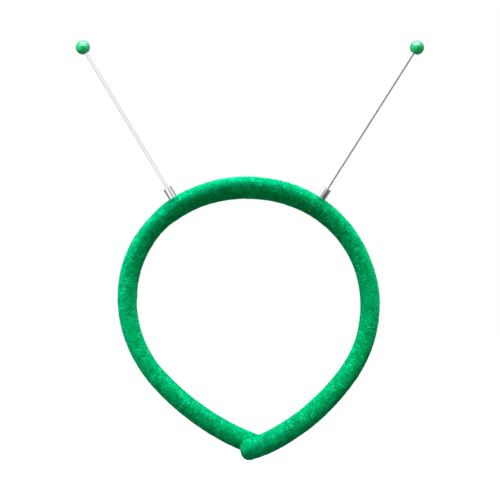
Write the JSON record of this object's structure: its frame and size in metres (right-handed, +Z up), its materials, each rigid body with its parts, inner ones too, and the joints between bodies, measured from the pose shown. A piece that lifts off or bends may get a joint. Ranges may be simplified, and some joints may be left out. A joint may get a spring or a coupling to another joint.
{
  "type": "antenna headband",
  "caption": "Felt-covered springy headband whose rounded ends cross below, with glossy beads on close-wound spring antennas that stand in polished ferrules.",
  "frame": {"origin": "the point where the underside of the crown rests on the head, in the band's middle plane", "axes": "+Z up through the crown, +X to the right seen from the front, +Y away from the front; the end that lies in front is at -Y"},
  "size_m": [0.1951, 0.0235, 0.2348],
  "materials": {
    "felt": "matte",
    "foam": "matte",
    "core_steel": "satin",
    "vinyl": "satin",
    "thread": "satin",
    "chrome": "polished",
    "screw_steel": "satin",
    "spring_steel": "polished",
    "bead": "gloss"
  },
  "bodies": {
    "crown": {"crown_cover": "felt", "crown_foam": "foam", "crown_core_strip": "core_steel", "crown_seam_thread": "thread"},
    "right_upper_arm": {"right_upper_cover": "felt", "right_upper_foam": "foam", "right_upper_core_strip": "core_steel", "right_upper_seam_thread": "thread", "right_ferrule": "chrome", "right_ferrule_screw": "screw_steel", "right_ferrule_washer": "screw_steel", "right_spring_root": "spring_steel"},
    "right_lower_arm": {"right_lower_cover": "felt", "right_lower_foam": "foam", "right_lower_core_strip": "core_steel", "right_lower_seam_thread": "thread", "right_tip_sleeve": "vinyl"},
    "right_spring_1": {"right_spring_length_1": "spring_steel"},
    "right_spring_2": {"right_spring_length_2": "spring_steel"},
    "right_spring_3": {"right_spring_length_3": "spring_steel"},
    "right_spring_4": {"right_spring_length_4": "spring_steel", "right_bead": "bead"},
    "left_upper_arm": {"left_upper_cover": "felt", "left_upper_foam": "foam", "left_upper_core_strip": "core_steel", "left_upper_seam_thread": "thread", "left_ferrule": "chrome", "left_ferrule_screw": "screw_steel", "left_ferrule_washer": "screw_steel", "left_spring_root": "spring_steel"},
    "left_lower_arm": {"left_lower_cover": "felt", "left_lower_foam": "foam", "left_lower_core_strip": "core_steel", "left_lower_seam_thread": "thread", "left_tip_sleeve": "vinyl"},
    "left_spring_1": {"left_spring_length_1": "spring_steel"},
    "left_spring_2": {"left_spring_length_2": "spring_steel"},
    "left_spring_3": {"left_spring_length_3": "spring_steel"},
    "left_spring_4": {"left_spring_length_4": "spring_steel", "left_bead": "bead"}
  },
  "joints": [
    {"name": "right_crown_flex", "type": "hinge", "parent": "crown", "child": "right_upper_arm", "pos_m": [0.03181, 0, -0.00109], "axis": [0, -1, 0], "range_deg": [0, 20], "stiffness_Nm_per_rad": 0.6},
    {"name": "right_side_flex", "type": "hinge", "parent": "right_upper_arm", "child": "right_lower_arm", "pos_m": [0.06957, 0, -0.06036], "axis": [0, -1, 0], "range_deg": [0, 20]},
    {"name": "right_antenna_sway", "type": "hinge", "parent": "right_upper_arm", "child": "right_spring_1", "pos_m": [0.0458, 0, 0.00524], "axis": [0, 1, 0], "range_deg": [-30, 30], "stiffness_Nm_per_rad": 0.02},
    {"name": "right_antenna_nod", "type": "hinge", "parent": "right_spring_1", "child": "right_spring_2", "pos_m": [0.05743, 0, 0.02357], "axis": [0.8443, 0, -0.5358], "range_deg": [-30, 30], "stiffness_Nm_per_rad": 0.02},
    {"name": "right_antenna_sway_upper", "type": "hinge", "parent": "right_spring_2", "child": "right_spring_3", "pos_m": [0.06922, 0, 0.04214], "axis": [0, 1, 0], "range_deg": [-20, 20]},
    {"name": "right_antenna_nod_upper", "type": "hinge", "parent": "right_spring_3", "child": "right_spring_4", "pos_m": [0.08101, 0, 0.06072], "axis": [0.8443, 0, -0.5358], "range_deg": [-20, 20]},
    {"name": "left_crown_flex", "type": "hinge", "parent": "crown", "child": "left_upper_arm", "pos_m": [-0.03072, 0, -0.00121], "axis": [0, 1, 0], "range_deg": [0, 20], "stiffness_Nm_per_rad": 0.6},
    {"name": "left_side_flex", "type": "hinge", "parent": "left_upper_arm", "child": "left_lower_arm", "pos_m": [-0.06631, 0, -0.05622], "axis": [0, 1, 0], "range_deg": [0, 20]},
    {"name": "left_antenna_sway", "type": "hinge", "parent": "left_upper_arm", "child": "left_spring_1", "pos_m": [-0.0439, 0, 0.00568], "axis": [0, -1, 0], "range_deg": [-30, 30], "stiffness_Nm_per_rad": 0.02},
    {"name": "left_antenna_nod", "type": "hinge", "parent": "left_spring_1", "child": "left_spring_2", "pos_m": [-0.05511, 0, 0.02426], "axis": [0.8563, 0, 0.5165], "range_deg": [-30, 30], "stiffness_Nm_per_rad": 0.02},
    {"name": "left_antenna_sway_upper", "type": "hinge", "parent": "left_spring_2", "child": "left_spring_3", "pos_m": [-0.06648, 0, 0.0431], "axis": [0, -1, 0], "range_deg": [-20, 20]},
    {"name": "left_antenna_nod_upper", "type": "hinge", "parent": "left_spring_3", "child": "left_spring_4", "pos_m": [-0.07784, 0, 0.06194], "axis": [0.8563, 0, 0.5165], "range_deg": [-20, 20]}
  ],
  "couplings": [
    {"joint": "right_side_flex", "follows": "right_crown_flex", "ratio": 1},
    {"joint": "right_antenna_sway_upper", "follows": "right_antenna_sway", "ratio": 0.6667},
    {"joint": "right_antenna_nod_upper", "follows": "right_antenna_nod", "ratio": 0.6667},
    {"joint": "left_side_flex", "follows": "left_crown_flex", "ratio": 1},
    {"joint": "left_antenna_sway_upper", "follows": "left_antenna_sway", "ratio": 0.6667},
    {"joint": "left_antenna_nod_upper", "follows": "left_antenna_nod", "ratio": 0.6667}
  ]
}
